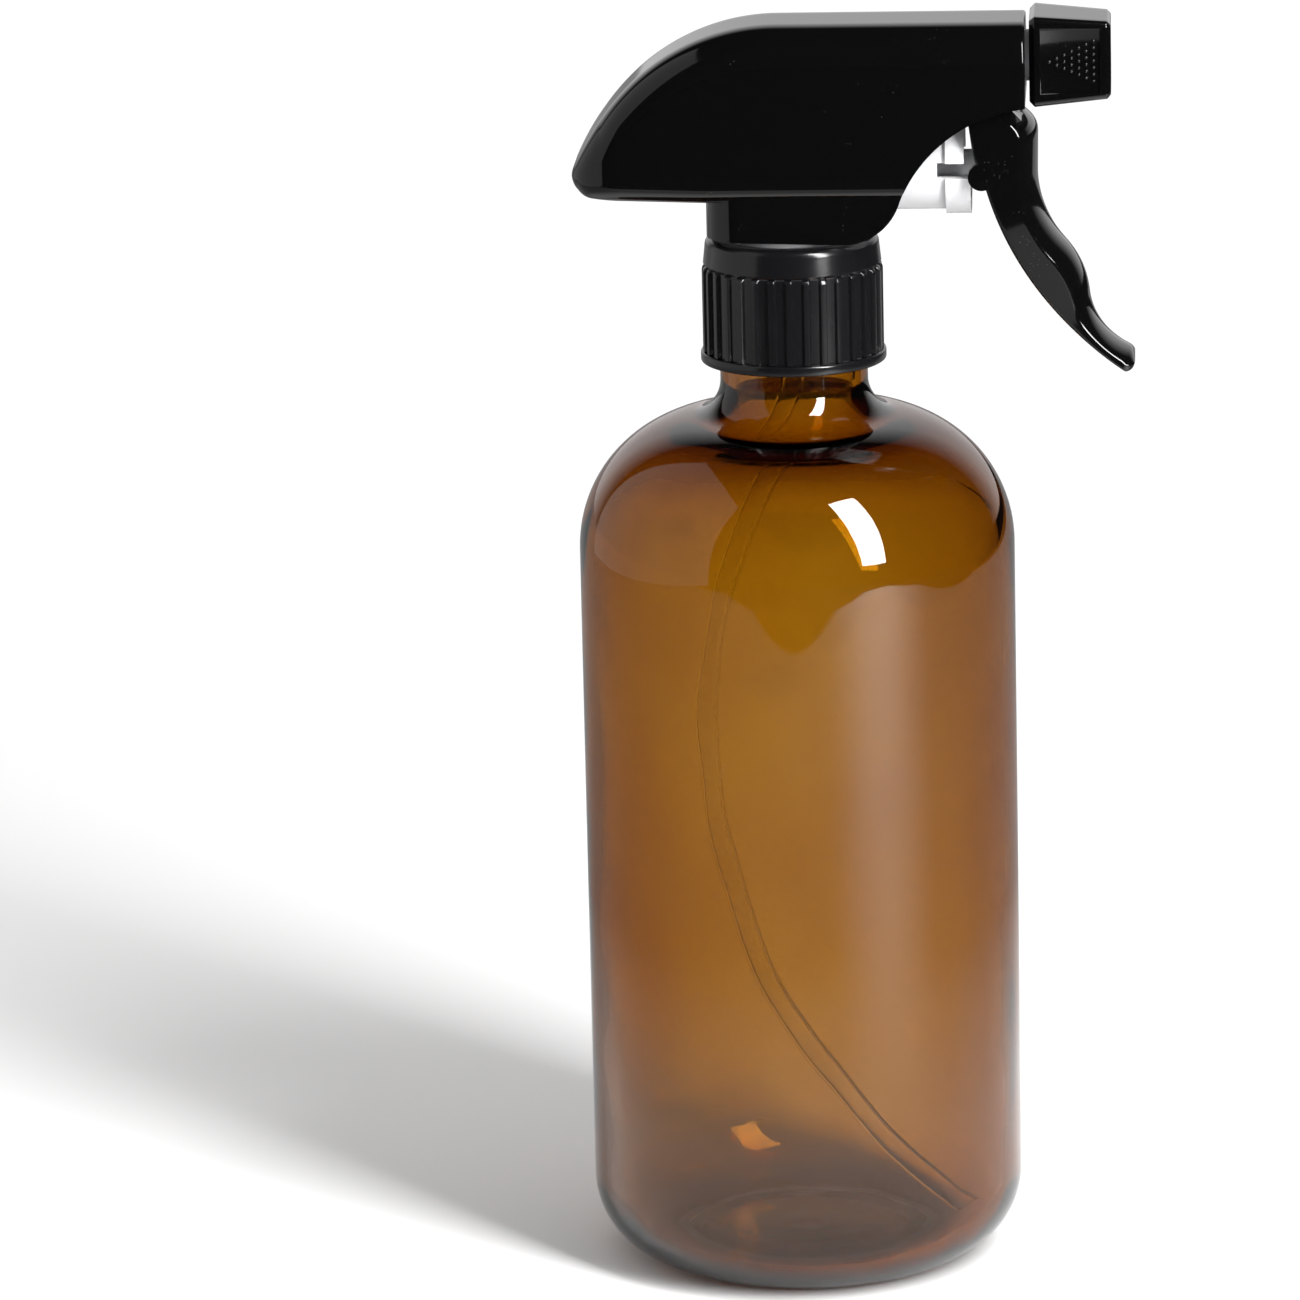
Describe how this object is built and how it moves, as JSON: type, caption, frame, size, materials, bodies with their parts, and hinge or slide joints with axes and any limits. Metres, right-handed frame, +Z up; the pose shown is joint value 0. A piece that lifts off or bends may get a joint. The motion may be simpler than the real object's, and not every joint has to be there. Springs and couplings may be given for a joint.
{
  "type": "spray bottle",
  "caption": "Round amber glass bottle with a black trigger pump head, screw collar, square turning nozzle and dip tube.",
  "frame": {"origin": "centre of the bottle's standing ring, on the bottle's axis", "axes": "+Z up the bottle's axis, +X the way the nozzle sprays, +Y across the head"},
  "size_m": [0.0965, 0.0754, 0.2207],
  "materials": {
    "amber_glass": "clear amber, polished",
    "closure_black": "moulded, semi-gloss, ribbed",
    "shroud_black": "moulded, gloss",
    "trigger_black": "moulded, gloss",
    "nozzle_black": "moulded, gloss",
    "natural_plastic": "natural translucent, satin",
    "tube_plastic": "natural translucent, extruded",
    "piston_plastic": "soft, smooth",
    "insert_plastic": "smooth",
    "gasket_foam": "closed-cell foam",
    "silicone": "soft, satin",
    "ball_steel": "polished",
    "spring_steel": "drawn wire"
  },
  "bodies": {
    "bottle": {"bottle": "amber_glass"},
    "head": {"neck_gasket": "gasket_foam", "valve_stem": "natural_plastic", "vent_valve": "silicone", "dip_tube": "tube_plastic", "pump_body": "natural_plastic", "return_spring": "spring_steel", "outlet_spring": "spring_steel", "spinner": "natural_plastic", "nozzle_seal": "silicone", "pivot_pin": "insert_plastic", "shroud": "shroud_black"},
    "collar": {"closure": "closure_black"},
    "trigger": {"trigger": "trigger_black"},
    "plunger": {"piston": "piston_plastic", "piston_rod": "natural_plastic"},
    "nozzle": {"nozzle": "nozzle_black", "orifice_insert": "insert_plastic"},
    "lower_ball": {"inlet_ball": "ball_steel"},
    "upper_ball": {"outlet_ball": "ball_steel"}
  },
  "joints": [
    {"name": "head_lift", "type": "slide", "parent": "bottle", "child": "head", "axis": [0, 0, 1], "range_m": [0, 0.0074]},
    {"name": "collar_turn", "type": "hinge", "parent": "head", "child": "collar", "pos_m": [0, 0, 0.1695], "axis": [0, 0, 1], "range_deg": [0, 631]},
    {"name": "trigger_swing", "type": "hinge", "parent": "head", "child": "trigger", "pos_m": [0.0335, 0, 0.2067], "axis": [0, 1, 0], "range_deg": [0, 26.14], "stiffness_Nm_per_rad": 1.2, "springref_deg": -20.05},
    {"name": "piston_slide", "type": "slide", "parent": "head", "child": "plunger", "axis": [-1, 0, 0], "range_m": [0, 0.00621], "deforming": ["return_spring"]},
    {"name": "nozzle_turn", "type": "hinge", "parent": "head", "child": "nozzle", "pos_m": [0.048, 0, 0.2128], "axis": [1, 0, 0], "continuous": true},
    {"name": "inlet_ball_lift", "type": "slide", "parent": "head", "child": "lower_ball", "axis": [0, 0, 1], "range_m": [0, 0.0012]},
    {"name": "outlet_ball_open", "type": "slide", "parent": "head", "child": "upper_ball", "axis": [1, 0, 0], "range_m": [0, 0.0005], "stiffness_N_per_m": 100, "springref_m": -0.001, "deforming": ["outlet_spring"]}
  ],
  "couplings": [
    {"joint": "collar_turn", "follows": "head_lift", "rad_per_m": 1484.3},
    {"joint": "piston_slide", "follows": "trigger_swing", "m_per_rad": 0.013588}
  ]
}
